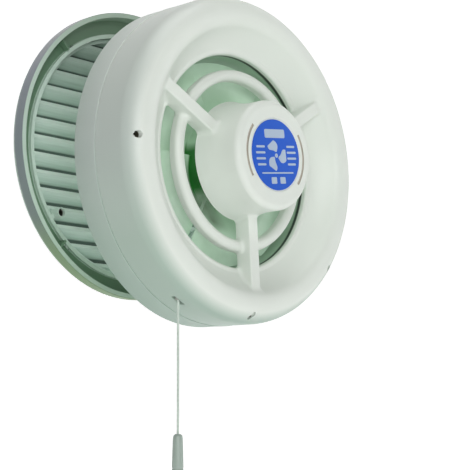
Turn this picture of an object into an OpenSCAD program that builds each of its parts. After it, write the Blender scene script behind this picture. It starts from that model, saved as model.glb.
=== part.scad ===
// Round window exhaust fan: a room-side unit with motor, impeller and pull
// cord, and an outdoor unit with rain louvres, standing off the pane between.
// Fan axis along Y. Room side faces -Y, outdoors is +Y, +Z is up.
// Origin: centre of the pane hole, in the pane's room-side face.

/* [Room unit] */
// Outer radius of the round casing
body_r = 115.5; // [115:0.1:116]
// Wall thickness of the moulded casings
wall_t = 2.5; // [2.3:0.1:2.6]
// Radius of the air throat and duct
throat_r = 76; // [75.6:0.1:76.4]
// Radius of the middle guard ring
guard_r = 60.8; // [58:0.2:62]
// Thickness of the middle guard ring
guard_w = 8.2; // [7:0.2:9]
// Width of each spoke
spoke_w = 9; // [8:0.5:10]
// Length of the duct behind the pane face
spigot_len = 11; // [8:0.5:11]

/* [Impeller] */
// Number of blades
blade_count = 6; // [5:1:6]
// Tilt of the blades from the fan plane, in degrees
blade_tilt = 9; // [8:1:11]
// Radius over the blade tips
tip_r = 73.5; // [70:0.5:74]

/* [Outdoor unit] */
// Distance between the two units as they stand
gap_rest = 63.6; // [40:0.1:80]
// Height of the outdoor unit's centre above the fan axis as they stand
rise_rest = 18; // [0:1:20]
// Outer radius of the outdoor casing
out_r = 110; // [108:0.5:112]
// Spacing of the rain louvres
slat_pitch = 12.7; // [12:0.1:13]
// Depth of each louvre slat
slat_depth = 11.2; // [9:0.2:12]

/* [Pull cord] */
// Diameter of the cord
cord_d = 1.8; // [1.5:0.1:2.2]
// Length of the pull handle
handle_len = 38; // [30:1:45]
// Radius at the foot of the pull handle
handle_r = 4.3; // [3.8:0.1:5]

/* [Hidden] */
e = 0.01;
// Stations along the axis
y_face = -58;        // crest of the bezel
y_part = -20.5;      // seam between front cover and rear housing
y_throat = -39.6;    // ridge of the throat
y_hub = -76.3;       // face of the hub
seat_y = -3;         // rear face of the housing's back plate
// Angles, seen from the room, counted from +X towards +Z
SPOKES = [34, 154, 274];
POSTS = [180, 40, -40];
TIES = [-144, -24, 96];
WALL_HOLES = [156, 36, -84];
MOTOR_BOLTS = [90, 210, 330];
CLIPS = [52, 128, -52, -128];
post_c = 109.3;
tie_c = 87;
cable_a = 0;
block_a = 18;
// Where the cord leaves, straight down through the casing wall
cord_x = -54;
cord_y = -36;
cord_top = -91.5;
handle_top = -190;
CORD = [[-54, -36, -91.5], [-54, -36, -96], [-54, -36, -100], [-54, -36, -104],
    [-54, -36, -109], [-54, -36, -114], [-53.9, -36, -120], [-53.9, -36, -126],
    [-53.8, -36, -132], [-53.8, -36, -138], [-53.7, -36, -144], [-53.7, -36, -150],
    [-53.6, -36, -156], [-53.6, -36, -162], [-53.6, -36, -168], [-53.5, -36, -174],
    [-53.5, -36, -180], [-53.5, -36, -186], [-53.5, -36, -191.5]];

white = [0.88, 0.9, 0.87];
shade = [0.74, 0.8, 0.75];
steel = [0.72, 0.73, 0.75];

// 2D shapes in [radius, y] turned about the fan axis
module rev() rotate([-90, 0, 0]) rotate_extrude($fn = 128) children();
// A rod along Y
module ycyl(r, y0, y1, x = 0, z = 0)
    translate([x, y0, z]) rotate([-90, 0, 0]) cylinder(r = r, h = y1 - y0, $fn = 48);
// Local +X points out at angle a
module at_a(a) rotate([0, -a, 0]) children();
module blk(x0, x1, y0, y1, z0, z1)
    translate([x0, y0, z0]) cube([x1 - x0, y1 - y0, z1 - z0]);
module box2(r0, r1, y0, y1) translate([r0, y0]) square([r1 - r0, y1 - y0]);

// ---- front cover -------------------------------------------------------
fr = 14.4;                        // outer rounding
c1 = [body_r - fr, y_face + fr];
c2 = [body_r - fr, y_face + 10];
fun_r = 38.6;                     // radius of the dished funnel
fun_a = 34.9;                     // where the crest's rounding meets it
c3 = c2 - (10 + fun_r) * [cos(fun_a), sin(fun_a)];
module arc_band(c, r0, r1) difference() {
    translate(c) circle(r = r1, $fn = 96);
    translate(c) circle(r = r0, $fn = 96);
}
module cover_section() {
    box2(body_r - wall_t, body_r, c1[1], y_part);
    intersection() {
        arc_band(c1, fr - wall_t, fr);
        box2(c1[0], body_r + 1, y_face - 1, c1[1]);
    }
    intersection() {
        arc_band(c2, 10 - wall_t, 10);
        polygon([c2, c2 + [0, -16], c2 - 20 * [cos(62), sin(62)],
            c2 - 20 * [cos(fun_a), sin(fun_a)]]);
    }
    intersection() {
        arc_band(c3, fun_r, fun_r + wall_t);
        polygon([c3, c3 + 60 * [cos(fun_a), sin(fun_a)], c3 + 60 * [cos(65.5), sin(65.5)]]);
    }
    translate([throat_r + 2, y_throat]) circle(r = 2, $fn = 48);
    box2(throat_r, throat_r + wall_t, y_throat, -34);
}
// Everything behind the bezel's skin, to trim the screw bosses
module cover_fill() {
    box2(100, body_r - 1, c1[1], y_part);
    intersection() {
        translate(c1) circle(r = fr - 1, $fn = 96);
        box2(100, body_r + 1, y_face, c1[1]);
    }
}
module guard_section() {
    translate([guard_r, -45.9 + guard_w / 2]) circle(r = guard_w / 2, $fn = 48);
    box2(guard_r - guard_w / 2, guard_r + guard_w / 2, -45.9 + guard_w / 2, -37.5);
}
module hub_section() {
    difference() {
        union() {
            difference() {
                box2(0, 45, -71.3, -39.4);
                translate([108.4, -64]) circle(r = 70, $fn = 180);
                box2(38.4, 46, -72, -64);
            }
            box2(0, 33.4, y_hub, -71.2);
            translate([33.4, -71.3]) circle(r = 5, $fn = 64);
        }
        box2(-1, 35.8, -73.8, -39);
    }
    box2(7, 9.6, -74, -67.4);      // seat of the front bearing
}
// Side outline of a spoke, in [radius, y]
module spoke() {
    intersection() {
        translate([0, 0, -10]) linear_extrude(height = 20)
            polygon([[37, -52.7], [92.9, -52.7], [89.4, -47.7], [86.4, -44.9],
                [80.5, -40.6], [77.6, -39], [37, -39]]);
        // rounded bar along the radius
        translate([30, -52.7, -spoke_w / 2]) rotate([0, 90, 0]) translate([-spoke_w, 0, 0])
            linear_extrude(height = 66) {
                translate([0, 1.8]) square([spoke_w, 16]);
                translate([1.8, 0]) square([spoke_w - 3.6, 3]);
                for (i = [1.8, spoke_w - 1.8]) translate([i, 1.8]) circle(r = 1.8, $fn = 32);
            }
    }
}
module hub_arc(a) intersection() {
    rev() box2(28, 29.2, y_hub - 1, y_hub + 0.6);
    at_a(a) rotate([90, 0, 0]) translate([0, 0, 60]) linear_extrude(height = 20)
        polygon([[0, 0], [40, -30], [40, 30]]);
}
module front_cover() color(white) difference() {
    union() {
        rev() { cover_section(); guard_section(); hub_section(); }
        for (a = SPOKES) at_a(a) spoke();
        for (a = POSTS) intersection() {
            at_a(a) ycyl(4.7, -55, -44, post_c);
            rev() cover_fill();
        }
        for (a = MOTOR_BOLTS) at_a(a) ycyl(3.2, -74, -42.2, 33.1);
        // shelf that carries the pull switch
        intersection() {
            blk(-63, -45, -29.6, -27.6, -112, -70);
            rev() box2(70, body_r - 1, -40, -20);
        }
    }
    for (a = POSTS) at_a(a) {
        ycyl(2.3, -64, -47, post_c);
        ycyl(1.7, -48, -43, post_c);
    }
    for (a = MOTOR_BOLTS) at_a(a) ycyl(1.2, -56, -41, 33.1);
    // badge seat and the two engraved arcs beside it
    ycyl(25.5, y_hub - 1, y_hub + 0.5);
    hub_arc(0);
    hub_arc(180);
    // cord slot, along the rim
    intersection() {
        rev() box2(body_r - 6, body_r + 2, -38, -34);
        blk(-58.5, -49.5, -40, -30, -120, -80);
    }
    // shelf screw holes
    for (x = [-59.5, -48.5]) ycyl(0.9, -31, -27, x, -75);
    // thumb notch at the seam
    at_a(-71.5) blk(body_r - 1.2, body_r + 2, y_part - 1.6, y_part + 1, -3, 3);
}
module badge() color([0.13, 0.36, 0.78]) rev() box2(0, 25.3, y_hub - 0.3, y_hub + 0.5);

// ---- rear housing ------------------------------------------------------
module rear_housing() color(white) difference() {
    union() {
        rev() {
            box2(body_r - wall_t, body_r, y_part + 0.4, 0);
            box2(body_r - wall_t, body_r + 0.25, y_part + 0.4, y_part + 1.3);
            box2(110.6, body_r - wall_t - 0.3, -25.5, -16);   // locating lip
            box2(110.6, body_r - 1, -18, -16);
            box2(throat_r, body_r - 1, -5.5, seat_y);         // back plate
            box2(throat_r, throat_r + wall_t, -33.8, spigot_len);
        }
        for (a = POSTS) at_a(a) ycyl(3.3, -43.8, -4, post_c);
        for (a = TIES) at_a(a) ycyl(4.6, -21, -4, tie_c);
        at_a(cable_a) for (s = [-1, 1]) ycyl(2.6, -10.6, -5, 98, s * 6);
        at_a(block_a) for (s = [-1, 1]) ycyl(2.2, -10, -5, 92, s * 7);
    }
    for (a = POSTS) at_a(a) ycyl(1.3, -45, -28, post_c);
    for (a = TIES) at_a(a) ycyl(2.35, -22, 0, tie_c);
    for (a = WALL_HOLES) at_a(a) ycyl(2.25, -8, 0, 93);
    at_a(cable_a) translate([108, -11, 0]) rotate([0, 90, 0]) cylinder(r = 4.2, h = 10, $fn = 48);
    at_a(cable_a) for (s = [-1, 1]) ycyl(1.1, -14, -5, 98, s * 6);
    // drain notch in the pane rim, at the foot
    at_a(-99) blk(body_r - 4, body_r + 1, -1.2, 1, -1.6, 1.6);
}
module pane_gasket() color([0.25, 0.26, 0.26]) rev() box2(100, 110, seat_y, 0);
// Pan head screw along +Y, head face at y0
module pan_screw(r, len, hr, hh) {
    difference() {
        ycyl(hr, -hh, 0);
        blk(-hr * 0.7, hr * 0.7, -hh - 1, -hh + 0.7, -0.35, 0.35);
        blk(-0.35, 0.35, -hh - 1, -hh + 0.7, -hr * 0.7, hr * 0.7);
    }
    ycyl(r, -0.1, len);
}
module cover_screws() color(steel) for (a = POSTS) at_a(a)
    translate([post_c, -47, 0]) pan_screw(1.25, 18, 1.9, 1.5);
module tie_screws() color(steel) for (a = TIES) at_a(a)
    translate([tie_c, -32, 0]) pan_screw(2, 35, 3.7, 2.4);

// ---- motor -------------------------------------------------------------
module motor_stator() color([0.45, 0.46, 0.48]) difference() {
    rev() box2(17.6, 29.6, -64, -48);
    for (i = [0:11]) at_a(i * 30) ycyl(2.4, -65, -47, 21.6);
}
module motor_winding() color([0.72, 0.36, 0.16]) for (y = [[-68.4, -64], [-48, -43.6]])
    rev() {
        box2(18.6, 27, y[0] + 1.6, y[1] - 1.6);
        box2(20.2, 25.4, y[0], y[1]);
        for (r = [20.2, 25.4], v = [y[0] + 1.6, y[1] - 1.6])
            translate([r, v]) circle(r = 1.6, $fn = 32);
    }
module motor_endplate() color(steel) difference() {
    rev() {
        box2(7.0, 35.6, -42, -39.8);
        box2(7.0, 9.6, -43.9, -39.8);
    }
    for (a = MOTOR_BOLTS) at_a(a) ycyl(1.6, -43, -39, 33.1);
    for (i = [0:5]) at_a(i * 60) ycyl(3.2, -43, -39, 19.5);
}
module motor_screws() color(steel) for (a = MOTOR_BOLTS) at_a(a)
    translate([33.1, -39.8, 0]) mirror([0, 1, 0]) pan_screw(1.15, 12, 2.4, 1.5);
module front_bearing() color([0.72, 0.55, 0.3]) rev() box2(3.05, 7, -72.6, -67.8);
module rear_bearing() color([0.72, 0.55, 0.3]) rev() box2(3.05, 7, -43.7, -39.9);
module motor_rotor() color([0.6, 0.61, 0.63]) difference() {
    rev() box2(3, 17, -64, -48);
    for (i = [0:9]) at_a(i * 36) ycyl(1.1, -65, -47, 14.6);
}
module rotor_shaft() color(steel) ycyl(3, -71.8, -8);

// ---- impeller ----------------------------------------------------------
module blade() intersection() {
    translate([0, -23.6, 0]) rotate([-blade_tilt, 0, 0]) rotate([90, 0, 0])
        translate([0, 0, -1]) linear_extrude(height = 2)
            polygon([[27, -16.35], [76, -46], [76, 46], [27, 16.35]]);
    rev() box2(33, tip_r, -33.2, -7.6);
}
module impeller() color(shade) {
    rev() {
        box2(31.8, 34, -34.4, -10.5);
        box2(3, 33, -30, -27.6);
        box2(3, 8, -35.6, -14);
    }
    for (i = [0:blade_count - 1]) at_a(i * 360 / blade_count + 30) blade();
}
module impeller_nut() color([0.75, 0.6, 0.3]) difference() {
    translate([0, -14, 0]) rotate([-90, 0, 0]) cylinder(r = 6.4, h = 4.4, $fn = 6);
    ycyl(3, -15, -9);
}

// ---- pull switch and cord ----------------------------------------------
module switch_case() color([0.2, 0.2, 0.21]) difference() {
    blk(-61, -47, -42, -30, -90, -72);
    translate([cord_x, cord_y, -88]) cylinder(r = 4.4, h = 14, $fn = 48);
    translate([cord_x, cord_y, -91]) cylinder(r = 2.1, h = 5, $fn = 48);
    for (x = [-59.5, -48.5]) ycyl(0.95, -43, -29, x, -75);
    for (x = [-58.4, -50.8]) blk(x, x + 1.2, -40.5, -38, -80, -71);
}
module switch_contacts() color([0.8, 0.62, 0.25]) for (x = [-58.3, -50.7])
    blk(x, x + 1, -40.4, -38.1, -79, -67.5);
module switch_screws() color(steel) for (x = [-59.5, -48.5])
    translate([x, -42, -75]) pan_screw(0.85, 13.6, 1.4, 1);
module switch_slider() color([0.85, 0.85, 0.82]) translate([cord_x, cord_y, 0]) {
    translate([0, 0, -77]) cylinder(r = 3.6, h = 2.6, $fn = 48);
    difference() {
        translate([0, 0, cord_top]) cylinder(r = 1.8, h = -77 - cord_top + e, $fn = 48);
        translate([0, 0, cord_top - 1]) cylinder(r = 0.8, h = 4, $fn = 32);
    }
}
// Tube along a list of points, with n sides
function tube_ring(p, r, n) = [for (i = [0:n - 1]) p + r * [cos(i * 360 / n), sin(i * 360 / n), 0]];
module tube(pts, r, n) {
    m = len(pts);
    polyhedron(
        points = [for (p = pts) each tube_ring(p, r, n)],
        faces = concat(
            [[for (i = [0:n - 1]) i]],
            [[for (i = [n - 1:-1:0]) (m - 1) * n + i]],
            [for (j = [0:m - 2], i = [0:n - 1])
                [j * n + i, (j + 1) * n + i, (j + 1) * n + (i + 1) % n, j * n + (i + 1) % n]]),
        convexity = 4);
}
// Coil spring: ring sections set upright along a helix
spring_n = 6;
spring_k = 12;
spring_m = 60;
spring_z0 = -87.6;
spring_z1 = -77.4;
function spring_sec(j) = let (a = j * 360 / spring_k, z = spring_z0 + (spring_z1 - spring_z0) * j / spring_m)
    [for (i = [0:spring_n - 1]) let (b = i * 360 / spring_n)
        [cord_x + (3.2 + 0.35 * cos(b)) * cos(a), cord_y + (3.2 + 0.35 * cos(b)) * sin(a),
            z + 0.35 * sin(b)]];
module switch_spring() color(steel) polyhedron(
    points = [for (j = [0:spring_m]) each spring_sec(j)],
    faces = concat(
        [[for (i = [0:spring_n - 1]) i]],
        [[for (i = [spring_n - 1:-1:0]) spring_m * spring_n + i]],
        [for (j = [0:spring_m - 1], i = [0:spring_n - 1])
            [j * spring_n + i, (j + 1) * spring_n + i,
                (j + 1) * spring_n + (i + 1) % spring_n, j * spring_n + (i + 1) % spring_n]]),
    convexity = 8);
module cord_bush() color(shade) difference() {
    union() {
        translate([cord_x, cord_y, -101.4]) cylinder(r = 1.96, h = 4.8, $fn = 48);
        translate([cord_x, cord_y, -97.5]) cylinder(r = 3.2, h = 0.9, $fn = 48);
    }
    translate([cord_x, cord_y, -104]) cylinder(r = 1.35, h = 10, $fn = 48);
}
module pull_cord() color([0.68, 0.72, 0.66]) tube(CORD, cord_d / 2, 8);
module cord_handle() color([0.78, 0.84, 0.78]) translate([-53.5, -36, 0]) difference() {
    rotate_extrude($fn = 96) {
        zt = handle_top;
        zb = handle_top - handle_len;
        difference() {
            polygon([[0, zt], [2.0, zt], [3.4, zt - 2], [3.95, zt - 22], [4.1, zt - 23],
                [handle_r, zb + 1.2], [handle_r - 1.2, zb], [0, zb]]);
            translate([3.95 + 0.35, zt - 22.6]) circle(r = 0.55, $fn = 24);
        }
    }
    translate([0, 0, handle_top - 1.5]) cylinder(r = 0.95, h = 3, $fn = 32);
}

// ---- supply cable inlet, inside the housing ----------------------------
module cable_grommet() color([0.2, 0.2, 0.2]) at_a(cable_a) difference() {
    union() {
        translate([111, -11, 0]) rotate([0, 90, 0]) cylinder(r = 4.1, h = 6, $fn = 48);
        translate([111, -11, 0]) rotate([0, 90, 0]) cylinder(r = 4.75, h = 1.6, $fn = 48);
        translate([115.5, -11, 0]) rotate([0, 90, 0]) cylinder(r = 6.4, h = 1.5, $fn = 48);
    }
    translate([110, -11, 0]) rotate([0, 90, 0]) cylinder(r = 3, h = 8, $fn = 48);
}
module cable_clamp() color([0.85, 0.86, 0.84]) at_a(cable_a) difference() {
    blk(95.2, 100.8, -12.6, -10.6, -8.8, 8.8);
    for (s = [-1, 1]) ycyl(1.3, -14, -9, 98, s * 6);
}
module clamp_screws() color(steel) at_a(cable_a) for (s = [-1, 1])
    translate([98, -12.6, s * 6]) pan_screw(1.05, 6, 2.1, 1.3);
module terminal_block() color([0.9, 0.9, 0.88]) at_a(block_a) difference() {
    blk(86, 98, -19, -10, -11, 11);
    for (s = [-1, 1]) ycyl(1.5, -20, -9, 92, s * 7);
    for (s = [-1, 0, 1], r = [88.5, 95.5]) ycyl(1.2, -20, -13, r, s * 3.4);
}
module terminal_screws() color([0.8, 0.62, 0.25]) at_a(block_a) for (s = [-1, 0, 1], r = [88.5, 95.5])
    ycyl(1.15, -18.4, -13.2, r, s * 3.4);

// ---- outdoor unit ------------------------------------------------------
module out() translate([0, gap_rest, rise_rest]) children();
module casing_section() {
    box2(out_r - 3.6, out_r, 0, 7.1);
    intersection() {
        arc_band([out_r - 8, 7], 4.4, 8);
        box2(out_r - 8 - e, out_r + 1, 7, 16);
    }
    box2(92.4, out_r - 8, 11.4, 15);
    box2(92.4, 95.2, 8.8, 22);
}
module outdoor_casing() color(shade) out() difference() {
    union() {
        rev() casing_section();
        for (a = TIES) at_a(a) {
            ycyl(3.7, 3.4, 12.2, tie_c);
            blk(tie_c + 2, 93, 8.8, 12.2, -1.6, 1.6);
        }
        for (a = CLIPS) at_a(a + (a > 0 ? 1 : -1) * (abs(a) > 90 ? 4 : -4))
            blk(95, out_r - 3.4, 6, 12, -0.8, 0.8);
    }
    for (a = TIES) at_a(a) ycyl(2.9, 2, 11, tie_c);
    for (a = CLIPS) at_a(a) blk(88, 95.8, 10.2, 15.2, -3.6, 3.6);
}
module louvre_grille() color(shade) out() {
    difference() {
        union() {
            rev() box2(89.6, 92.1, 12.6, 22);
            intersection() {
                ycyl(90.4, 12, 26);
                for (k = [-7:7]) let (z = 5 + k * slat_pitch)
                    translate([-95, 0, 0]) rotate([90, 0, 90]) linear_extrude(height = 190)
                        polygon([[12.8, z], [12.8, z - 2.2], [12.8 + slat_depth, z - 13.2],
                            [12.8 + slat_depth, z - 11]]);
            }
            intersection() {
                ycyl(90.4, 12, 26);
                blk(-1.2, 1.2, 14, 22, -95, 95);
            }
            for (a = CLIPS) at_a(a) blk(91, 94.4, 12.9, 14.3, -2.6, 2.6);
        }
    }
}
module tie_nuts() color([0.78, 0.62, 0.28]) out() for (a = TIES) at_a(a) difference() {
    ycyl(2.9, 5.6, 10.9, tie_c);
    ycyl(2.06, 2, 12, tie_c);
}

front_cover();
badge();
rear_housing();
pane_gasket();
cover_screws();
motor_stator();
motor_winding();
motor_endplate();
motor_screws();
front_bearing();
rear_bearing();
motor_rotor();
rotor_shaft();
impeller();
impeller_nut();
switch_case();
switch_contacts();
switch_spring();
switch_screws();
switch_slider();
cord_bush();
pull_cord();
cord_handle();
tie_screws();
cable_grommet();
cable_clamp();
clamp_screws();
terminal_block();
terminal_screws();
outdoor_casing();
louvre_grille();
tie_nuts();
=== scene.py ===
import math

import bmesh
import bpy
import numpy as np
from mathutils import Matrix, Vector


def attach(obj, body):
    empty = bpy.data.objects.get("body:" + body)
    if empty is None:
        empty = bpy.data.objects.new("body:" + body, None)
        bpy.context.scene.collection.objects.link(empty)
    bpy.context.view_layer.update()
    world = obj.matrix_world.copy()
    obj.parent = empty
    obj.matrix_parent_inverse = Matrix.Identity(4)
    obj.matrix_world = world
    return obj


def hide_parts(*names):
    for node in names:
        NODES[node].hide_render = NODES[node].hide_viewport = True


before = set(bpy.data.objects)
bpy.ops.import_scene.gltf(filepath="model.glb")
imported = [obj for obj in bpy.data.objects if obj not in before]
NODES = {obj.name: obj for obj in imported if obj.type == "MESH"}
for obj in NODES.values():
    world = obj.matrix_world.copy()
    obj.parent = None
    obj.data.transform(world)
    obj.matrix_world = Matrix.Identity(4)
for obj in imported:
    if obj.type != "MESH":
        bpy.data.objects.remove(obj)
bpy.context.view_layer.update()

MM = 0.001
rad = math.radians

# ---------------------------------------------------------------- camera
AZ, EL, DIST = -47.70, -6.76, 0.8808
TARGET = Vector((0.0063, -0.03975, -0.0674))
BACK = Vector((math.sin(rad(AZ)) * math.cos(rad(EL)), -math.cos(rad(AZ)) * math.cos(rad(EL)), math.sin(rad(EL))))
cam_data = bpy.data.cameras.new("camera")
cam = bpy.data.objects.new("camera", cam_data)
bpy.context.scene.collection.objects.link(cam)
cam.location = TARGET + BACK * DIST
cam.rotation_mode = "QUATERNION"
cam.rotation_quaternion = (-BACK).to_track_quat("-Z", "Y")
cam_data.sensor_width = 36.0
cam_data.lens = 1249.0 / 470.0 * 36.0
cam_data.shift_x = -8.0 / 470.0
cam_data.shift_y = 22.0 / 470.0
cam_data.clip_start, cam_data.clip_end = 0.02, 30.0
bpy.context.scene.camera = cam

# ---------------------------------------------------------------- node helpers
def new_mat(name):
    m = bpy.data.materials.new(name)
    m.use_nodes = True
    t = m.node_tree
    t.nodes.clear()
    out = t.nodes.new("ShaderNodeOutputMaterial")
    b = t.nodes.new("ShaderNodeBsdfPrincipled")
    t.links.new(b.outputs[0], out.inputs[0])
    return m, t, b


def coords(t, scale=1.0, stretch=(1, 1, 1)):
    tc = t.nodes.new("ShaderNodeTexCoord")
    mp = t.nodes.new("ShaderNodeMapping")
    mp.inputs["Scale"].default_value = [scale * s for s in stretch]
    t.links.new(tc.outputs["Object"], mp.inputs[0])
    return mp.outputs[0]


def noise(t, vec, scale, detail=3.0, rough=0.5):
    n = t.nodes.new("ShaderNodeTexNoise")
    n.inputs["Scale"].default_value = scale
    n.inputs["Detail"].default_value = detail
    n.inputs["Roughness"].default_value = rough
    t.links.new(vec, n.inputs["Vector"])
    return n.outputs["Fac"]


def ramp(t, fac, stops, mode="LINEAR"):
    r = t.nodes.new("ShaderNodeValToRGB")
    r.color_ramp.interpolation = mode
    e = r.color_ramp.elements
    while len(e) > 1:
        e.remove(e[-1])
    e[0].position, e[0].color = stops[0][0], (*stops[0][1], 1)
    for p, c in stops[1:]:
        k = e.new(p)
        k.color = (*c, 1)
    t.links.new(fac, r.inputs[0])
    return r.outputs[0]


def span(t, fac, lo, hi, f0=0.0, f1=1.0):
    r = t.nodes.new("ShaderNodeMapRange")
    r.inputs["From Min"].default_value = f0
    r.inputs["From Max"].default_value = f1
    r.inputs["To Min"].default_value = lo
    r.inputs["To Max"].default_value = hi
    t.links.new(fac, r.inputs["Value"])
    return r.outputs[0]


def bump(t, b, height, strength, dist):
    n = t.nodes.new("ShaderNodeBump")
    n.inputs["Strength"].default_value = strength
    n.inputs["Distance"].default_value = dist
    t.links.new(height, n.inputs["Height"])
    t.links.new(n.outputs[0], b.inputs["Normal"])
    return n


def srgb(c):
    return tuple(((v / 255 + 0.055) / 1.055) ** 2.4 if v > 10 else v / 255 / 12.92 for v in c)


def plastic(name, col, rough=0.38, var=0.03, bump_s=0.25, sss=0.0, tint=(1, 1, 1)):
    """Moulded plastic: slow tone changes, fine flow marks, satin grain."""
    m, t, b = new_mat(name)
    v = coords(t)
    slow = noise(t, v, 14.0, 2.0)
    c0 = tuple(x * (1 - var) * y for x, y in zip(col, tint))
    c1 = tuple(min(1, x * (1 + var)) for x in col)
    t.links.new(ramp(t, slow, [(0.3, c0), (0.7, c1)]), b.inputs["Base Color"])
    fine = noise(t, v, 900.0, 3.0, 0.6)
    t.links.new(span(t, noise(t, v, 60.0, 3.0), rough - 0.06, rough + 0.06), b.inputs["Roughness"])
    bump(t, b, fine, bump_s, 0.00006)
    b.inputs["IOR"].default_value = 1.5
    if sss:
        b.inputs["Subsurface Weight"].default_value = sss
        b.inputs["Subsurface Radius"].default_value = (0.8, 1.0, 0.8)
        b.inputs["Subsurface Scale"].default_value = 0.002
    return m


def across(t, cz=0.0, axes=(1, 0, 1)):
    """Distance from the fan axis (or from a line cz above it) in object space."""
    tc = t.nodes.new("ShaderNodeTexCoord")
    mp = t.nodes.new("ShaderNodeMapping")
    mp.inputs["Scale"].default_value = axes
    mp.inputs["Location"].default_value = (0, 0, -cz)
    t.links.new(tc.outputs["Object"], mp.inputs[0])
    vm = t.nodes.new("ShaderNodeVectorMath")
    vm.operation = "LENGTH"
    t.links.new(mp.outputs[0], vm.inputs[0])
    return vm.outputs["Value"]


def along(t, direction):
    """Position along a direction in object space."""
    tc = t.nodes.new("ShaderNodeTexCoord")
    vm = t.nodes.new("ShaderNodeVectorMath")
    vm.operation = "DOT_PRODUCT"
    vm.inputs[1].default_value = direction
    t.links.new(tc.outputs["Object"], vm.inputs[0])
    return vm.outputs["Value"]


def mix(t, fac, a, b, mode="MIX"):
    n = t.nodes.new("ShaderNodeMix")
    n.data_type = "RGBA"
    n.blend_type = mode
    ins = [i for i in n.inputs if i.enabled]
    if hasattr(fac, "links"):
        t.links.new(fac, ins[0])
    else:
        ins[0].default_value = fac
    t.links.new(a, ins[1])
    t.links.new(b, ins[2])
    return [o for o in n.outputs if o.enabled][0]


def stops_of(pairs, lo, hi):
    return [((v - lo) / (hi - lo), c) for v, c in pairs]


def wall_painted_shade(t):
    """Painted shade: the casing's outer wall is painted greener and darker lower down, where it is in shade."""
    z = span(t, along(t, (0, 0, 1)), 0, 1, -0.1155, 0.1155)
    return ramp(t, z, [(0.0, WALL_SHADE[0]), (0.22, WALL_SHADE[1]), (0.5, WALL_SHADE[2]), (0.8, WALL_SHADE[3]), (1.0, WALL_SHADE[4])])


WALL_SHADE = ((0.47, 0.58, 0.53), (0.51, 0.61, 0.56), (0.73, 0.77, 0.77), (0.88, 0.90, 0.90), (0.97, 0.97, 0.97))


def inside_painted_shade(t, c, y0, y1):
    """Painted shade inside the throat and duct walls: a painted dark line where they meet, and green-grey painted
    shade behind it.
    """
    duct = ramp(t, noise(t, coords(t), 30.0), [(0.3, (0.32, 0.45, 0.34)), (0.7, (0.41, 0.57, 0.43))])
    y = span(t, along(t, (0, 1, 0)), 0, 1, -0.0400, -0.0330)
    wall = mix(t, ramp(t, y, [(0.0, (0, 0, 0)), (0.10, (1, 1, 1)), (0.70, (1, 1, 1)), (0.85, (0, 0, 0))]), duct,
               ramp(t, noise(t, coords(t), 40.0), [(0.3, (0.010, 0.017, 0.012)), (0.7, (0.022, 0.034, 0.025))]))
    deep = mix(t, span(t, across(t), 1, 0, 0.0790, 0.0798), c, wall)
    return mix(t, span(t, along(t, (0, 1, 0)), 0, 1, y0, y1), c, deep)


def shell(name, col, rough, var, bump_s, r0=None, r1=None, rear=None):
    """Casing plastic: plastic() with the wall's painted shade from radius r0 to r1, and darker at the rear."""
    m = plastic(name, col, rough, var, bump_s)
    t = m.node_tree
    b = [n for n in t.nodes if n.type == "BSDF_PRINCIPLED"][0]
    base = b.inputs["Base Color"].links[0].from_socket
    if r0 is None:
        c = mix(t, 1.0, base, wall_painted_shade(t), "MULTIPLY")
    else:
        c = mix(t, span(t, across(t), 0, 1, r0, r1), base, wall_painted_shade(t), "MULTIPLY")
    if rear:
        y = span(t, along(t, (0, 1, 0)), 0, 1, -0.021, -0.001)
        k = (0.88, 0.88, 0.88)
        c = mix(t, 1.0, c, ramp(t, y, [(0.0, (1, 1, 1)), (0.075, (1, 1, 1)), (0.1, k), (1.0, rear)]), "MULTIPLY")
    # painted shade: the screw pockets and the cord slot are painted dark inside, where shade falls
    pocket_shade = ramp(t, noise(t, coords(t), 90.0), [(0.3, (0.050, 0.046, 0.030)), (0.7, (0.085, 0.080, 0.055))])
    pocket_shade = mix(t, span(t, across(t), 0, 1, 0.1107, 0.1111), pocket_shade, c)
    pocket_shade = mix(t, span(t, across(t), 0, 1, 0.1066, 0.1068), c, pocket_shade)
    c = mix(t, span(t, along(t, (0, 1, 0)), 0, 1, -0.0532, -0.0527), c, pocket_shade)
    c = inside_painted_shade(t, c, -0.0376, -0.0368)
    if r0 is not None:
        # the two shallow grooves beside the badge are painted a darker brownish grey
        g = mix(t, span(t, across(t), 0, 1, 0.0277, 0.0279), c, ramp(t, noise(t, coords(t), 90.0), [(0.3, (0.40, 0.37, 0.31)), (0.7, (0.50, 0.46, 0.39))]))
        g = mix(t, span(t, across(t), 0, 1, 0.0308, 0.0310), g, c)
        c = mix(t, span(t, along(t, (0, 1, 0)), 0, 1, -0.07615, -0.0760), c, g)
    t.links.new(c, b.inputs["Base Color"])
    return m


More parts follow.
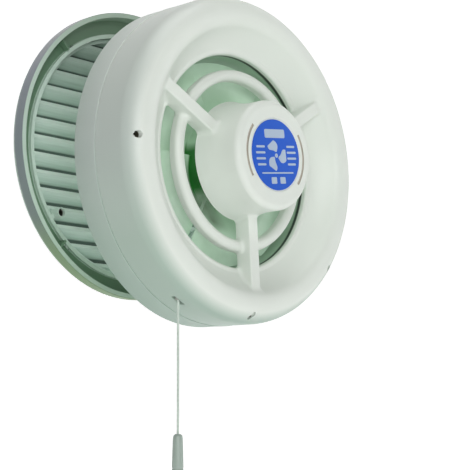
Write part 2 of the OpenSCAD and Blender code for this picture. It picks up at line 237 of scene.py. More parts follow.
def impeller_plastic(name):
    m = plastic(name, (0.5, 0.5, 0.5), 0.42, 0.03, 0.2)
    t = m.node_tree
    b = [n for n in t.nodes if n.type == "BSDF_PRINCIPLED"][0]
    lo, hi = 0.030, 0.0735
    # painted shade: the blades are painted darker and greener near the hub and towards the tips, brightest midway
    r = span(t, across(t), 0, 1, lo, hi)
    c = ramp(t, r, stops_of([(0.030, (0.35, 0.52, 0.37)), (0.045, (0.42, 0.60, 0.45)), (0.056, (0.60, 0.76, 0.63)),
                             (0.066, (0.46, 0.63, 0.49)), (0.0735, (0.44, 0.60, 0.47))], lo, hi))
    slow = ramp(t, noise(t, coords(t), 26.0, 3.0), [(0.35, (0.74, 0.80, 0.74)), (0.62, (1, 1, 1))])
    # painted shade: the lower side near the hub is painted darker, where it is in shade
    shade = mix(t, 1.0, c, ramp(t, noise(t, coords(t), 50.0), [(0.3, (0.34, 0.33, 0.31)), (0.7, (0.46, 0.46, 0.44))]), "MULTIPLY")
    shade = mix(t, span(t, along(t, (-0.68, 0, -0.73)), 0, 1, 0.026, 0.037), c, shade)
    c = mix(t, span(t, across(t), 0, 1, 0.0430, 0.0490), shade, c)
    # painted shade: the hub's shaded side is painted a deep green
    green_shade = mix(t, span(t, along(t, (-0.966, 0, -0.259)), 0, 1, 0.0285, 0.0315), c,
                ramp(t, noise(t, coords(t), 60.0), [(0.3, (0.013, 0.12, 0.018)), (0.7, (0.020, 0.17, 0.027))]))
    c = mix(t, span(t, across(t), 0, 1, 0.0350, 0.0365), green_shade, c)
    c = mix(t, 1.0, c, slow, "MULTIPLY")
    t.links.new(c, b.inputs["Base Color"])
    # painted light: the impeller glows faintly in its own colour, though it is no lamp
    t.links.new(c, b.inputs["Emission Color"])
    b.inputs["Emission Strength"].default_value = 0.26
    return m


OUT_Z = 0.018


def outdoor_plastic(name):
    m = plastic(name, (0.5, 0.5, 0.5), 0.42, 0.03, 0.2)
    t = m.node_tree
    b = [n for n in t.nodes if n.type == "BSDF_PRINCIPLED"][0]
    # painted light and shade: the lip and the grille ring's front are painted bright, and the channel between them is
    # painted a dark green shade
    lo, hi = 0.085, 0.1105
    r = span(t, across(t, OUT_Z), 0, 1, lo, hi)
    bright, lip, channel_shade = (0.66, 0.80, 0.72), (0.62, 0.76, 0.67), (0.17, 0.29, 0.19)
    c = ramp(t, r, stops_of([(0.085, bright), (0.0951, bright), (0.0958, channel_shade), (0.1056, channel_shade), (0.1066, lip), (0.1105, lip)], lo, hi))
    # painted shade: darker at the top, in the room unit's shadow, and darker and greener at the bottom
    z = span(t, along(t, (0, 0, 1)), 0, 1, OUT_Z - 0.11, OUT_Z + 0.11)
    shade_z = ramp(t, z, [(0.0, (0.75, 0.82, 0.74)), (0.3, (0.95, 0.97, 0.95)), (0.7, (1, 1, 1)), (1.0, (0.62, 0.66, 0.6))])
    c = mix(t, 1.0, c, shade_z, "MULTIPLY")
    # painted shade: the outer wall is painted greener and darker lower down
    wall = ramp(t, z, [(0.0, (0.17, 0.29, 0.13)), (0.14, (0.17, 0.28, 0.14)), (0.25, (0.16, 0.22, 0.20)),
                       (0.45, (0.23, 0.28, 0.29)), (0.72, (0.32, 0.35, 0.39)), (1.0, (0.45, 0.48, 0.47))])
    c = mix(t, span(t, across(t, OUT_Z), 0, 1, 0.1094, 0.1099), c, wall)
    t.links.new(c, b.inputs["Base Color"])
    return m


def grille_plastic(name):
    """Slats with painted light and shade: painted lit at the front edge and painted dark deep between them, with fine
    drawn streaks.
    """
    m = plastic(name, (0.5, 0.5, 0.5), 0.5, 0.03, 0.2)
    t = m.node_tree
    b = [n for n in t.nodes if n.type == "BSDF_PRINCIPLED"][0]
    lo, hi = 0.0762, 0.0880
    y = span(t, along(t, (0, 1, 0)), 0, 1, lo, hi)
    c = ramp(t, y, stops_of([(0.0762, (0.76, 0.90, 0.82)), (0.0772, (0.74, 0.90, 0.81)), (0.0815, (0.70, 0.88, 0.78)),
                             (0.0828, (0.60, 0.77, 0.67)), (0.0836, (0.11, 0.17, 0.14)), (0.0880, (0.06, 0.10, 0.08))], lo, hi))
    fine = noise(t, coords(t, 1.0, (0.06, 1, 1.6)), 420.0, 3.0, 0.6)
    c = mix(t, 1.0, c, ramp(t, fine, [(0.32, (0.86, 0.88, 0.87)), (0.66, (1.0, 1.0, 1.0))]), "MULTIPLY")
    # painted shade: the upper slats are painted darker, in the casing's shadow
    z = span(t, along(t, (0, 0, 1)), 0, 1, OUT_Z - 0.09, OUT_Z + 0.09)
    c = mix(t, 1.0, c, ramp(t, z, [(0.0, (1, 1, 1)), (0.55, (0.95, 0.95, 0.95)), (0.75, (0.74, 0.76, 0.75)), (0.9, (0.42, 0.45, 0.43))]), "MULTIPLY")
    t.links.new(c, b.inputs["Base Color"])
    return m


def metal(name, col, rough=0.35, brush=(1, 1, 40)):
    m, t, b = new_mat(name)
    v = coords(t, 1.0, brush)
    n = noise(t, v, 300.0, 4.0, 0.6)
    t.links.new(ramp(t, n, [(0.3, tuple(x * 0.8 for x in col)), (0.7, col)]), b.inputs["Base Color"])
    t.links.new(span(t, n, rough - 0.1, rough + 0.12), b.inputs["Roughness"])
    b.inputs["Metallic"].default_value = 1.0
    bump(t, b, n, 0.2, 0.00005)
    return m


casing = shell("casing_plastic", (0.76, 0.81, 0.75), 0.38, 0.015, 0.18, 0.1075, 0.1142)
housing = shell("housing_plastic", (0.86, 0.92, 0.86), 0.42, 0.03, 0.2, rear=(0.74, 0.77, 0.75))
outdoor = outdoor_plastic("outdoor_plastic")
grille = grille_plastic("grille_plastic")
impeller_m = impeller_plastic("impeller_plastic")
handle_m = plastic("handle_plastic", (0.38, 0.46, 0.41), 0.3, 0.03, 0.15)
natural = plastic("natural_plastic", (0.50, 0.52, 0.47), 0.5, 0.03)
black = plastic("black_plastic", (0.02, 0.02, 0.021), 0.5, 0.1)
rubber = plastic("rubber", (0.035, 0.036, 0.035), 0.8, 0.15, 0.6)
steel = metal("steel", (0.50, 0.51, 0.53), 0.3)
brass = metal("brass", (0.56, 0.42, 0.19), 0.35)
insert = metal("insert_brass", (0.17, 0.16, 0.14), 0.5)
# painted shade: the cover screws deep in their pockets are painted a dark brown
zinc = metal("zinc_painted_shade", (0.11, 0.095, 0.07), 0.6)
bronze = metal("bronze", (0.40, 0.28, 0.14), 0.5)
copper = metal("winding_copper", (0.46, 0.18, 0.06), 0.3, (1, 30, 1))
iron = metal("lamination_iron", (0.22, 0.23, 0.25), 0.5, (1, 60, 1))
blue = plastic("badge_blue", (0.012, 0.105, 0.60), 0.45, 0.05, 0.08)
blue.node_tree.nodes["Principled BSDF"].inputs["Specular IOR Level"].default_value = 0.25
badge_print = plastic("badge_print", (0.42, 0.53, 0.66), 0.45, 0.06, 0.05)
cord_m = plastic("cord_fabric", (0.60, 0.69, 0.62), 0.85, 0.1, 0.6)

LOOK = {
    "front_cover": casing, "rear_housing": housing, "badge": blue, "pane_gasket": rubber,
    "cover_screws": zinc, "motor_stator": iron, "motor_winding": copper, "motor_endplate": steel,
    "motor_screws": steel, "front_bearing": bronze, "rear_bearing": bronze, "motor_rotor": iron,
    "rotor_shaft": steel, "impeller": impeller_m, "impeller_nut": bronze, "switch_case": black,
    "switch_contacts": brass, "switch_spring": steel, "switch_screws": steel, "switch_slider": natural,
    "cord_bush": natural, "pull_cord": cord_m, "cord_handle": handle_m, "tie_screws": steel,
    "cable_grommet": rubber, "cable_clamp": natural, "clamp_screws": steel, "terminal_block": natural,
    "terminal_screws": brass, "outdoor_casing": outdoor, "louvre_grille": grille, "tie_nuts": insert,
}
for n, o in NODES.items():
    o.data.materials.clear()
    o.data.materials.append(LOOK[n])

# ---------------------------------------------------------------- cord
CORD = [(-54, -36, -91.5), (-54, -36, -96), (-54, -36, -100), (-54, -36, -104),
        (-54, -36, -109), (-54, -36, -114), (-53.9, -36, -120), (-53.9, -36, -126),
        (-53.8, -36, -132), (-53.8, -36, -138), (-53.7, -36, -144), (-53.7, -36, -150),
        (-53.6, -36, -156), (-53.6, -36, -162), (-53.6, -36, -168), (-53.5, -36, -174),
        (-53.5, -36, -180), (-53.5, -36, -186), (-53.5, -36, -191.5)]


# ---------------------------------------------------------------- mesh helpers
def add_obj(name, verts, faces, mat, body, smooth=True, normals=None):
    me = bpy.data.meshes.new(name)
    me.from_pydata([tuple(v) for v in verts], [], [tuple(f) for f in faces])
    me.update()
    o = bpy.data.objects.new(name, me)
    bpy.context.scene.collection.objects.link(o)
    if mat:
        me.materials.append(mat)
    if smooth:
        me.polygons.foreach_set("use_smooth", [True] * len(me.polygons))
    if body:
        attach(o, body)
    return o


def add_big(name, verts, quads, mat, body, normals=None):
    """A large all-quad mesh from arrays; verts in mm."""
    me = bpy.data.meshes.new(name)
    n, m = len(verts), len(quads)
    me.vertices.add(n)
    me.vertices.foreach_set("co", (np.asarray(verts, np.float32) * MM).ravel())
    me.loops.add(m * 4)
    me.loops.foreach_set("vertex_index", np.asarray(quads, np.int32).ravel())
    me.polygons.add(m)
    me.polygons.foreach_set("loop_start", np.arange(0, m * 4, 4, dtype=np.int32))
    me.update(calc_edges=True)
    me.polygons.foreach_set("use_smooth", np.ones(m, bool))
    me.materials.append(mat)
    if normals is not None:
        me.normals_split_custom_set_from_vertices(np.asarray(normals, np.float32))
    o = bpy.data.objects.new(name, me)
    bpy.context.scene.collection.objects.link(o)
    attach(o, body)
    return o


class Build:
    """Collects closed shells in mm."""

    def __init__(self):
        self.v, self.f = [], []

    def add(self, verts, faces):
        k = len(self.v)
        self.v.extend([tuple(float(c) for c in p) for p in verts])
        self.f.extend([tuple(i + k for i in f) for f in faces])

    def loft(self, rings, close_u=False):
        """Rings of equal length; closed all round, capped at both ends unless close_u."""
        m, n = len(rings), len(rings[0])
        vs = [p for r in rings for p in r]
        fs = []
        for j in range(m if close_u else m - 1):
            a, b = j * n, ((j + 1) % m) * n
            for i in range(n):
                fs.append((a + i, a + (i + 1) % n, b + (i + 1) % n, b + i))
        if not close_u:
            fs.append(tuple(range(n))[::-1])
            fs.append(tuple((m - 1) * n + i for i in range(n)))
        self.add(vs, fs)

    def turn(self, prof, n=160, ang=None):
        """Closed profile (r, y) turned all the way round the fan axis."""
        rings = []
        for i in range(n):
            a = 2 * math.pi * i / n
            rings.append([(r * math.cos(a), y, r * math.sin(a)) for r, y in prof])
        self.loft(rings, True)

    def obj(self, name, mat, body, smooth_angle=None):
        o = add_obj(name, [tuple(c * MM for c in p) for p in self.v], self.f, mat, body)
        bm = bmesh.new()
        bm.from_mesh(o.data)
        bmesh.ops.recalc_face_normals(bm, faces=bm.faces)
        bm.to_mesh(o.data)
        bm.free()
        if smooth_angle:
            sharp(o, smooth_angle)
        return o


def sharp(o, deg):
    """Edges bent more than deg show as edges, the rest are smooth."""
    me = o.data
    me.polygons.foreach_set("use_smooth", [True] * len(me.polygons))
    bm = bmesh.new()
    bm.from_mesh(me)
    for e in bm.edges:
        e.smooth = not (len(e.link_faces) == 2 and e.calc_face_angle(0) > rad(deg))
    bm.to_mesh(me)
    bm.free()


def bevel(o, width, seg=2, ang=32):
    m = o.modifiers.new("edges", "BEVEL")
    m.width, m.segments, m.limit_method, m.angle_limit = width * MM, seg, "ANGLE", rad(ang)
    m.harden_normals = True
    m.use_clamp_overlap = True
    return m


# ---------------------------------------------------------------- impeller
def make_impeller():
    b = Build()
    b.turn([(3.04, -35.6), (7.4, -35.6), (8, -35.0), (8, -30.6), (8.6, -30), (31.2, -30), (31.8, -30.6),
            (31.8, -34.0), (32.2, -34.4), (33.6, -34.4), (34, -34.0), (34, -10.9), (33.6, -10.5),
            (32.2, -10.5), (31.8, -10.9), (31.8, -27.0), (31.2, -27.6), (8.6, -27.6), (8, -27.0),
            (8, -14.4), (7.6, -14), (3.04, -14)], 144)
    half = math.radians(31.2)
    for k in range(6):
        phi0 = math.radians(60 * k + 30)
        rings = []
        for iu in range(26):
            u = iu / 25
            r = 33.0 + (73.35 - 33.0) * u
            tilt = math.tan(rad(8.5 - 2.5 * u))
            top, bot = [], []
            for it in range(29):
                t = -math.cos(math.pi * it / 28)
                tip = 1 - 0.02 * max(0, u - 0.85) / 0.15
                th = 0.92 * math.sqrt(max(1 - t ** 8, 0.0)) + 0.03
                ang = t * half * tip
                s = r * math.sin(ang)
                y = -23.6 + tilt * s + 1.6 * (1 - t * t) - 0.8
                a = phi0 + ang + 0.035 * (u - 0.5)
                p = (r * math.cos(a), r * math.sin(a))
                top.append((p[0], y - th, p[1]))
                bot.append((p[0], y + th, p[1]))
            rings.append(top + bot[::-1][1:-1])
        n = len(rings[0])
        b.loft(rings)
    return b.obj("impeller_fine", impeller_m, "rotor", 40)


# ---------------------------------------------------------------- badge
def make_badge():
    b = Build()
    prof = [(24.6, -75.8), (24.6, -76.28), (24.4, -76.44), (23.9, -76.5)]
    n = 128
    rings = [[(r * math.cos(2 * math.pi * i / n), y, r * math.sin(2 * math.pi * i / n)) for i in range(n)]
             for r, y in prof + [(12, -76.5), (2, -76.5)]]
    b.loft(rings)
    disc = b.obj("badge_disc", blue, "indoor_unit", 30)
    m = Build()

    def plate(pts):
        """A closed outline (x, z) as a thin raised print."""
        m.loft([[(x, -76.46, z) for x, z in pts], [(x, -76.58, z) for x, z in pts]])

    def rrect(cx, cz, w, h, r, k=6):
        pts = []
        for qx, qz, a0 in ((1, 1, 0), (-1, 1, 90), (-1, -1, 180), (1, -1, 270)):
            for i in range(k + 1):
                a = rad(a0 + 90 * i / k)
                pts.append((cx + qx * (w / 2 - r) + r * math.cos(a), cz + qz * (h / 2 - r) + r * math.sin(a)))
        return pts
    plate(rrect(0, 14.6, 21, 6.0, 1.2))
    # a three-blade fan sign
    for k in range(3):
        a0 = rad(90 + 120 * k)
        pts = []
        for i in range(25):
            t = i / 24
            r = 2.6 + 8.2 * t
            w = 0.30 + 0.42 * math.sin(math.pi * min(1, t * 0.92))
            pts.append((r, a0 + 0.5 * t + w))
        for i in range(25):
            t = 1 - i / 24
            r = 2.6 + 8.2 * t
            w = 0.30 + 0.42 * math.sin(math.pi * min(1, t * 0.92))
            pts.append((r, a0 + 0.5 * t - w * 0.75))
        plate([(r * math.cos(a), r * math.sin(a) - 0.6) for r, a in pts])
    m.turn([(0.2, -76.46), (0.2, -76.58), (1.5, -76.58), (1.5, -76.46)], 32)
    k0 = len(m.v) - 32 * 4
    for i in range(k0, len(m.v)):
        x, y, z = m.v[i]
        m.v[i] = (x, y, z - 0.6)
    for s_ in (-1, 1):
        for k, (z, w) in enumerate(((5.6, 8.6), (1.5, 9.6), (-2.6, 9.6), (-6.7, 8.6))):
            plate(rrect(s_ * (16.4 - 0.4 * abs(k - 1.5)), z, w, 1.5, 0.7))
    plate(rrect(0, -12.6, 33, 1.0, 0.45))
    plate(rrect(-4.6, -17.8, 5.6, 4.6, 0.7))
    plate(rrect(4.6, -17.8, 5.6, 4.6, 0.7))
    ca, sa = math.cos(rad(8)), math.sin(rad(8))
    m.v = [(x * ca - z * sa, y, x * sa + z * ca) for x, y, z in m.v]
    marks = m.obj("badge_marks", badge_print, "indoor_unit", 30)
    return disc, marks


# ---------------------------------------------------------------- cord and handle
def make_cord():
    """Round laid cord: two sets of strands show as shallow ridges winding round it."""
    P = np.array(CORD, float)
    seg = np.linalg.norm(np.diff(P, axis=0), axis=1)
    L = np.concatenate([[0], np.cumsum(seg)])
    n, m = 20, 330
    rings = []
    for j in range(m + 1):
        l = L[-1] * j / m
        c = np.array([np.interp(l, L, P[:, i]) for i in range(3)])
        ring_ = []
        for i in range(n):
            a = 2 * math.pi * i / n
            k1 = math.cos(4 * a + l * 2 * math.pi / 3.4)
            k2 = math.cos(4 * a - l * 2 * math.pi / 3.4)
            r = 0.9 - 0.075 + 0.075 * max(k1, k2)
            if j in (0, m):
                r *= 0.93
            ring_.append((c[0] + r * math.cos(a), c[1] + r * math.sin(a), c[2]))
        rings.append(ring_)
    b = Build()
    b.loft(rings)
    o = b.obj("cord_fine", cord_m, "pull")
    return o


def make_handle():
    zt, zb = -190.0, -228.0
    prof = [(0.97, zt - 1.5), (0.97, zt), (1.35, zt + 0.0), (2.0, zt - 0.12), (2.7, zt - 0.7), (3.15, zt - 1.6),
            (3.32, zt - 3.0), (3.42, zt - 5.0), (3.62, zt - 11), (3.80, zt - 17), (3.90, zt - 21.2),
            (3.93, zt - 21.7), (3.80, zt - 22.0), (3.62, zt - 22.35), (3.60, zt - 22.7), (3.74, zt - 23.05),
            (3.98, zt - 23.3), (4.06, zt - 23.8), (4.14, zt - 28), (4.24, zt - 34), (4.28, zb + 1.6),
            (4.22, zb + 0.9), (3.95, zb + 0.35), (3.5, zb + 0.06), (2.9, zb), (1.2, zb), (0.8, zb + 0.3), (0.3, zb + 0.4)]
    n = 72
    rings = [[(-53.5 + r * math.cos(2 * math.pi * i / n), -36 + r * math.sin(2 * math.pi * i / n), z)
              for i in range(n)] for r, z in prof]
    b = Build()
    rings.insert(0, [(-53.5 + 0.25 * math.cos(2 * math.pi * i / n), -36 + 0.25 * math.sin(2 * math.pi * i / n), zt - 1.5)
                     for i in range(n)])
    b.loft(rings)
    return b.obj("handle_fine", handle_m, "pull", 50)


# ---------------------------------------------------------------- front cover: distance field
# Lengths in mm, fan axis Y, r and y are the profile's coordinates.
BODY_R, SKIN, Y_SEAM = 115.5, 2.5, -20.15
C1 = np.array([101.1, -43.6])
C2 = np.array([101.1, -48.0])
FUN_R, FUN_A = 38.6, 34.9
C3 = C2 - (10 + FUN_R) * np.array([math.cos(rad(FUN_A)), math.sin(rad(FUN_A))])
SPOKE_A = (34.0, 154.0, 274.0)
POST_A = (180.0, 40.0, -40.0)
BOLT_A = (90.0, 210.0, 330.0)


def arc2(c, r, a0, a1, n):
    t = np.radians(np.linspace(a0, a1, n))
    return np.stack([c[0] + r * np.cos(t), c[1] + r * np.sin(t)], 1)


def seg_dist(p, q0, q1):
    """Distance from each point of p (n,2) to a chain of segments q0-q1 (m,2)."""
    out = np.full(len(p), 1e9)
    for a, b in zip(q0, q1):
        ab = b - a
        t = np.clip(((p - a) @ ab) / max(ab @ ab, 1e-12), 0, 1)
        d = p - a - t[:, None] * ab
        np.minimum(out, (d * d).sum(1), out)
    return np.sqrt(out)


def in_poly(p, poly):
    c = np.zeros(len(p), bool)
    for a, b in zip(poly, np.roll(poly, -1, 0)):
        if a[1] == b[1]:
            continue
        k = (a[1] > p[:, 1]) != (b[1] > p[:, 1])
        x = (b[0] - a[0]) * (p[:, 1] - a[1]) / (b[1] - a[1]) + a[0]
        c ^= k & (p[:, 0] < x)
    return c


def poly_sdf(p, poly):
    d = seg_dist(p, poly, np.roll(poly, -1, 0))
    return np.where(in_poly(p, poly), -d, d)


def smin(a, b, k):
    h = np.maximum(k - np.abs(a - b), 0) / k
    return np.minimum(a, b) - h * h * k * 0.25


def profile_sdf(p):
    h = SKIN / 2
    mid = np.concatenate([
        [[BODY_R - h, -12.0]],
        arc2(C1, 14.4 - h, 0, -90, 28),
        arc2(C2, 10 - h, -90, -(180 - FUN_A), 16),
        arc2(C3, FUN_R + h, FUN_A, 65.5, 40)])
    skin = np.maximum(seg_dist(p, mid[:-1], mid[1:]) - h, p[:, 1] - Y_SEAM)
    throat = poly_sdf(p, np.array([[76.0, -39.6], [78.5, -39.6], [78.5, -34.0], [76.0, -34.0]]))
    ridge = np.hypot(p[:, 0] - 78, p[:, 1] + 39.6) - 2.0
    skin = smin(skin, smin(throat, ridge, 0.4), 1.2)
    ys = np.linspace(-64, -40.5, 24)
    side = np.stack([108.4 - np.sqrt(4900 - (ys + 64) ** 2), ys], 1)
    hub = np.concatenate([
        [[-4, -75.8], [25.5, -75.8], [25.6, -76.3], [33.4, -76.3]],
        arc2((33.4, -71.3), 5, -90, 0, 20), side,
        arc2((41.75, -40.5), 1.0, 0, 90, 7),
        [[35.8, -39.4], [35.8, -73.8], [9.6, -73.8], [9.6, -67.4], [7, -67.4], [7, -73.8], [-4, -73.8]]])
    ring = np.concatenate([
        arc2((60.8, -41.8), 4.1, -180, 0, 28),
        arc2((64.3, -38.1), 0.6, 0, 90, 5), arc2((57.3, -38.1), 0.6, 90, 180, 5)])
    return np.minimum(skin, np.minimum(poly_sdf(p, hub), poly_sdf(p, ring)))


# the profile's field on a fine table, read back with bilinear weights
TR0, TR1, TY0, TY1, TS = -2.0, 120.0, -80.0, -17.0, 0.25
_r = np.arange(TR0, TR1 + TS / 2, TS)
_y = np.arange(TY0, TY1 + TS / 2, TS)
TABLE = profile_sdf(np.stack(np.meshgrid(_r, _y, indexing="ij"), -1).reshape(-1, 2)).reshape(len(_r), len(_y))


def prof(r, y):
    u = np.clip((r - TR0) / TS, 0, len(_r) - 1.001)
    v = np.clip((y - TY0) / TS, 0, len(_y) - 1.001)
    i, j = u.astype(int), v.astype(int)
    fu, fv = u - i, v - j
    return ((TABLE[i, j] * (1 - fu) + TABLE[i + 1, j] * fu) * (1 - fv)
            + (TABLE[i, j + 1] * (1 - fu) + TABLE[i + 1, j + 1] * fu) * fv)


def box_d(q, half, rr=0.0):
    """Signed distance to a box of half sizes half with rounding rr; q and half are tuples."""
    d = [np.abs(a) - (h - rr) for a, h in zip(q, half)]
    out = sum(np.maximum(a, 0) ** 2 for a in d) ** 0.5
    ins = d[0]
    for a in d[1:]:
        ins = np.maximum(ins, a)
    return out + np.minimum(ins, 0) - rr


def behind_mid(r, y, off):
    """Negative on the room side of the funnel's skin, off mm in front of its middle."""
    c = np.hypot(r - C3[0], y - C3[1]) - (FUN_R + SKIN / 2 - off)
    return np.where(r > C3[0], c, y - (C3[1] + FUN_R + SKIN / 2 - off))


def on_rim(a, r):
    """A point of the rim's crest at angle a and radius r, 0.9 mm under its surface."""
    n = np.array([r - C1[0], -math.sqrt(14.4 ** 2 - (r - C1[0]) ** 2)])
    q = C1 + n * (1 - 0.9 / 14.4)
    return (q[0] * math.cos(rad(a)), q[1], q[0] * math.sin(rad(a)))


MARK = (on_rim(-91.2, 111.7), on_rim(-89.9, 108.9))


def cover_field(x, y, z, r=None, base=None, parts=None):
    """Signed distance (about) to the front cover; parts limits it to some features."""
    if r is None:
        r = np.hypot(x, z)
    f = prof(r, y) if base is None else base
    if parts is None or "spoke" in parts:
        for a in SPOKE_A:
            ca, sa = math.cos(rad(a)), math.sin(rad(a))
            u, w = x * ca + z * sa, -x * sa + z * ca
            s = box_d((w, y + 45.85), (4.6, 6.85), 1.3)
            s = np.maximum(np.maximum(s, 36.5 - u), behind_mid(r, y, 0.0))
            # the foot of each spoke widens where it meets the funnel
            f = np.where(u > 0, smin(f, s, 3.2), f)
    if parts is None or "post" in parts:
        for a in POST_A:
            px, pz = 109.3 * math.cos(rad(a)), 109.3 * math.sin(rad(a))
            q = np.hypot(x - px, z - pz)
            boss = np.maximum(np.maximum(q - 4.7, y + 44), np.maximum(-56 - y, r - 114.3))
            crest = np.where(r > C1[0], np.hypot(r - C1[0], y - C1[1]) - 13.2, -48 - y)
            boss = np.maximum(boss, np.where(y < C1[1], crest, r - 114.3))
            f = smin(f, boss, 1.0)
            f = np.maximum(f, -np.maximum(q - 2.3, y + 47))
            f = np.maximum(f, -np.maximum(q - 1.6, y + 42))
    if parts is None or "bolt" in parts:
        for a in BOLT_A:
            px, pz = 33.1 * math.cos(rad(a)), 33.1 * math.sin(rad(a))
            q = np.hypot(x - px, z - pz)
            f = smin(f, np.maximum(q - 3.2, np.maximum(y + 42.2, -74.2 - y)), 0.8)
    if parts is None or "arc" in parts:
        ang = np.abs(z) - np.abs(x) * 0.75
        g = np.maximum(np.abs(r - 29.3) - 0.95, np.maximum(-78 - y, y + 75.5))
        f = np.maximum(f, -np.maximum(g, ang * 0.8))
    if parts is None or "slot" in parts:
        f = np.minimum(f, np.maximum(box_d((x + 54, y + 28.6, z + 91), (9, 1.0, 21), 0.3),
                                     np.maximum(r - 114.2, 70.2 - r)))
        f = np.maximum(f, -np.maximum(box_d((x + 54, y + 36, z + 100), (4.5, 2.0, 22), 0.5), 110 - r))
    if parts is None or "mark" in parts:
        # the small slanted recess low on the rim
        p0, p1 = np.array(MARK[0]), np.array(MARK[1])
        d = p1 - p0
        k = np.clip(((x - p0[0]) * d[0] + (y - p0[1]) * d[1] + (z - p0[2]) * d[2]) / (d @ d), 0, 1)
        q = np.sqrt((x - p0[0] - k * d[0]) ** 2 + (y - p0[1] - k * d[1]) ** 2 + (z - p0[2] - k * d[2]) ** 2)
        f = np.maximum(f, -(q - 1.45))
    if parts is None or "notch" in parts:
        ca, sa = math.cos(rad(-71.5)), math.sin(rad(-71.5))
        u, w = x * ca + z * sa, -x * sa + z * ca
        f = np.maximum(f, -box_d((u - 117, w, y + 20.0), (2.7, 3.0, 2.1), 0.3))
    return f


def surface_nets(F, R, T, Y):
    """Quads round the zero level of F[r, theta, y]; theta goes all the way round."""
    Fp = np.concatenate([F, F[:, :1]], 1)
    nr, nt, ny = F.shape
    ins = Fp < 0
    cnt = np.zeros((nr - 1, nt, ny - 1), np.int8)
    for a in (0, 1):
        for b in (0, 1):
            for c in (0, 1):
                cnt += ins[a:nr - 1 + a, b:nt + b, c:ny - 1 + c]
    I, J, K = np.nonzero((cnt > 0) & (cnt < 8))
    idx = np.full((nr - 1, nt, ny - 1), -1, np.int32)
    idx[I, J, K] = np.arange(len(I))
    val = {(a, b, c): Fp[I + a, J + b, K + c].astype(np.float64) for a in (0, 1) for b in (0, 1) for c in (0, 1)}
    pos = np.zeros((len(I), 3))
    num = np.zeros(len(I))
    for ax in range(3):
        for b in (0, 1):
            for c in (0, 1):
                k0, k1 = [b, c], [b, c]
                k0.insert(ax, 0)
                k1.insert(ax, 1)
                f0, f1 = val[tuple(k0)], val[tuple(k1)]
                m = (f0 < 0) != (f1 < 0)
                t = np.where(m, f0 / np.where(m, f0 - f1, 1), 0)
                p = np.array(k0, float)[None, :].repeat(len(I), 0)
                p[:, ax] = t
                pos += p * m[:, None]
                num += m
    pos /= num[:, None]
    Tp = np.append(T, T[0] + 360.0)
    rr = R[I] + (R[I + 1] - R[I]) * pos[:, 0]
    tt = np.radians(Tp[J] + (Tp[J + 1] - Tp[J]) * pos[:, 1])
    yy = Y[K] + (Y[K + 1] - Y[K]) * pos[:, 2]
    verts = np.stack([rr * np.cos(tt), yy, rr * np.sin(tt)], 1)
    quads = []
    # edges along r, theta and y in turn
    e = ins[:-1, :nt, 1:-1] != ins[1:, :nt, 1:-1]
    i, j, k = np.nonzero(e)
    k = k + 1
    q = np.stack([idx[i, j - 1, k - 1], idx[i, j, k - 1], idx[i, j, k], idx[i, j - 1, k]], 1)
    quads.append(np.where(ins[i, j, k][:, None], q, q[:, ::-1]))
    e = ins[1:-1, :nt, 1:-1] != ins[1:-1, 1:nt + 1, 1:-1]
    i, j, k = np.nonzero(e)
    i, k = i + 1, k + 1
    q = np.stack([idx[i - 1, j, k - 1], idx[i - 1, j, k], idx[i, j, k], idx[i, j, k - 1]], 1)
    quads.append(np.where(ins[i, j, k][:, None], q, q[:, ::-1]))
    e = ins[1:-1, :nt, :-1] != ins[1:-1, :nt, 1:]
    i, j, k = np.nonzero(e)
    i = i + 1
    q = np.stack([idx[i - 1, j - 1, k], idx[i, j - 1, k], idx[i, j, k], idx[i - 1, j, k]], 1)
    quads.append(np.where(ins[i, j, k][:, None], q, q[:, ::-1]))
    return verts, np.concatenate(quads)


def steps(*parts):
    """One rising list from (start, end, step) runs."""
    out = []
    for a, b, s in parts:
        n = max(1, int(round((b - a) / s)))
        out.extend(np.linspace(a, b, n, endpoint=False))
    out.append(parts[-1][1])
    return np.array(out)


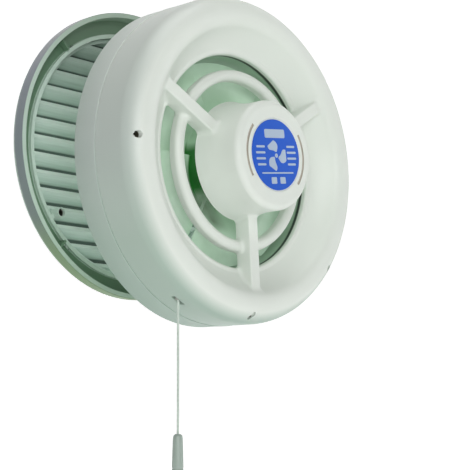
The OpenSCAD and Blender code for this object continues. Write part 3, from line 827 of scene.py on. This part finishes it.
def build_cover():
    R = steps((0.4, 24.8, 2.4), (24.8, 31, 0.4), (31, 73, 0.8), (73, 80, 0.6), (80, 111.5, 0.9), (111.5, 117.5, 0.5))
    Y = steps((-78.3, -75, 0.35), (-75, -60, 0.8), (-60, -40, 0.75), (-40, -33, 0.5), (-33, -22.5, 0.75), (-22.5, -19.3, 0.4))
    fine = [(SPOKE_A[0] - 7, SPOKE_A[0] + 7, 0.4), (37, 43, 0.3), (154 - 7, 154 + 7, 0.4), (177, 183, 0.3),
            (360 - 123, 360 - 113, 0.3), (274 - 7, 274 + 7, 0.4), (360 - 74, 360 - 69, 0.3), (317, 323, 0.3),
            (360 - 93, 360 - 89, 0.2)]
    fine.sort()
    runs, at = [], 0.0
    for a, b, s in fine:
        if a < at:
            a = at
        if a > at:
            runs.append((at, a, 0.62))
        runs.append((a, b, s))
        at = b
    runs.append((at, 360.0, 0.62))
    T = steps(*runs)[:-1]
    base = prof(R[:, None].repeat(len(Y), 1), Y[None, :].repeat(len(R), 0))
    F = np.repeat(base[:, None, :], len(T), 1).astype(np.float32)

    def patch(mask_t, r0, r1, parts):
        jt = np.nonzero(mask_t)[0]
        ir = np.nonzero((R >= r0) & (R <= r1))[0]
        rr, th, yy = np.meshgrid(R[ir], np.radians(T[jt]), Y, indexing="ij")
        sub = F[np.ix_(ir, jt, np.arange(len(Y)))].astype(np.float64)
        F[np.ix_(ir, jt, np.arange(len(Y)))] = cover_field(rr * np.cos(th), yy, rr * np.sin(th), rr, sub, parts)

    def near(a, d):
        return np.abs((T - a + 180) % 360 - 180) < d
    m = near(SPOKE_A[0], 20) | near(SPOKE_A[1], 20) | near(SPOKE_A[2], 20)
    patch(m, 34, 108, ("spoke",))
    m = near(180, 4) | near(40, 4) | near(-40, 4)
    patch(m, 100, 117.5, ("post",))
    m = near(90, 10) | near(210, 10) | near(330, 10)
    patch(m, 28, 38, ("bolt",))
    patch(near(0, 40) | near(180, 40), 26, 32, ("arc",))
    patch(near(-118, 14), 66, 117.5, ("slot",))
    patch(near(-71.5, 4), 108, 117.5, ("notch",))
    patch(near(-91, 4), 104, 117.5, ("mark",))
    F[0], F[-1] = 1.0, 1.0
    F[:, :, 0], F[:, :, -1] = 1.0, 1.0
    v, q = surface_nets(F, R, T, Y)

    def g(p):
        return cover_field(p[:, 0], p[:, 1], p[:, 2])
    keep = np.hypot(v[:, 0], v[:, 2]) < 2.0
    for it in range(3):
        f = g(v)
        h = 0.08
        grad = np.stack([(g(v + d) - g(v - d)) / (2 * h) for d in np.eye(3) * h], 1)
        n2 = np.maximum((grad ** 2).sum(1), 0.2)
        step = -(f / n2)[:, None] * grad
        ln = np.linalg.norm(step, axis=1, keepdims=True)
        step *= np.minimum(1, 0.35 / np.maximum(ln, 1e-9))
        step[keep] = 0
        v = v + step * (0.9 if it < 2 else 0.7)
    nrm = grad / np.maximum(np.linalg.norm(grad, axis=1, keepdims=True), 1e-9)
    return v, q, nrm


# ---------------------------------------------------------------- build the fine pieces
cord_o = make_cord()
handle_o = make_handle()
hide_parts("pull_cord")
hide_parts("cord_handle")

cv, cq, cn = build_cover()
cover_o = add_big("front_cover_fine", cv, cq[:, ::-1], casing, "indoor_unit", cn)
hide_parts("front_cover")

imp_o = make_impeller()
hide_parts("impeller")

disc_o, marks_o = make_badge()
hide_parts("badge")

for n, wd in (("rear_housing", 0.35), ("outdoor_casing", 0.45), ("louvre_grille", 0.3), ("switch_case", 0.25),
              ("terminal_block", 0.3), ("cable_clamp", 0.3), ("pane_gasket", 0.4)):
    bevel(NODES[n], wd)

# ---------------------------------------------------------------- stage
def make_stage():
    z0 = -0.262
    pts = [(-6.0, z0), (1.0, z0)]
    for i in range(1, 25):
        a = rad(90 * i / 24)
        pts.append((1.0 + 0.9 * math.sin(a), z0 + 0.9 * (1 - math.cos(a))))
    pts.append((1.9, 4.0))
    ang = math.atan2(-BACK.x, -BACK.y)
    d = Vector((-BACK.x, -BACK.y, 0)).normalized()
    s = Vector((d.y, -d.x, 0))
    vs, fs = [], []
    for k, w in enumerate((-6, 6)):
        for u, z in pts:
            p = d * u + s * w
            vs.append((p.x, p.y, z))
    n = len(pts)
    for i in range(n - 1):
        fs.append((i, i + 1, n + i + 1, n + i))
    m, t, b = new_mat("floor_white")
    v = coords(t)
    t.links.new(ramp(t, noise(t, v, 3.0), [(0.3, (0.93, 0.93, 0.93)), (0.7, (0.95, 0.95, 0.95))]), b.inputs["Base Color"])
    b.inputs["Roughness"].default_value = 0.8
    b.inputs["Emission Color"].default_value = (1, 1, 1, 1)
    far = span(t, along(t, (d.x, d.y, 0)), 0.3, 0.6, 0.25, 0.6)
    t.links.new(far, b.inputs["Emission Strength"])
    o = add_obj("floor", vs, fs, m, None)


make_stage()


def area(name, loc, target, size, power, col=(1, 1, 1)):
    ld = bpy.data.lights.new(name, "AREA")
    ld.shape = "RECTANGLE"
    ld.size, ld.size_y = size
    ld.energy = power
    ld.color = col
    o = bpy.data.objects.new(name, ld)
    bpy.context.scene.collection.objects.link(o)
    o.location = loc
    o.rotation_mode = "QUATERNION"
    o.rotation_quaternion = (Vector(target) - Vector(loc)).to_track_quat("-Z", "Y")
    return o


area("right", (1.2, -1.2, 0.5), (0, -0.02, 0), (1.0, 1.0), 3.6)
area("fill", (-1.0, -1.3, 0.3), (0, -0.02, 0), (0.9, 0.9), 11.3)
area("top", (-0.1, -0.2, 1.6), (0, -0.02, 0), (1.2, 1.2), 11.2)
w = bpy.data.worlds.new("world")
bpy.context.scene.world = w
w.use_nodes = True
w.node_tree.nodes["Background"].inputs[0].default_value = (1, 1, 1, 1)
w.node_tree.nodes["Background"].inputs[1].default_value = 0.02
bpy.context.scene.view_settings.view_transform = "Standard"
bpy.context.scene.view_settings.look = "None"
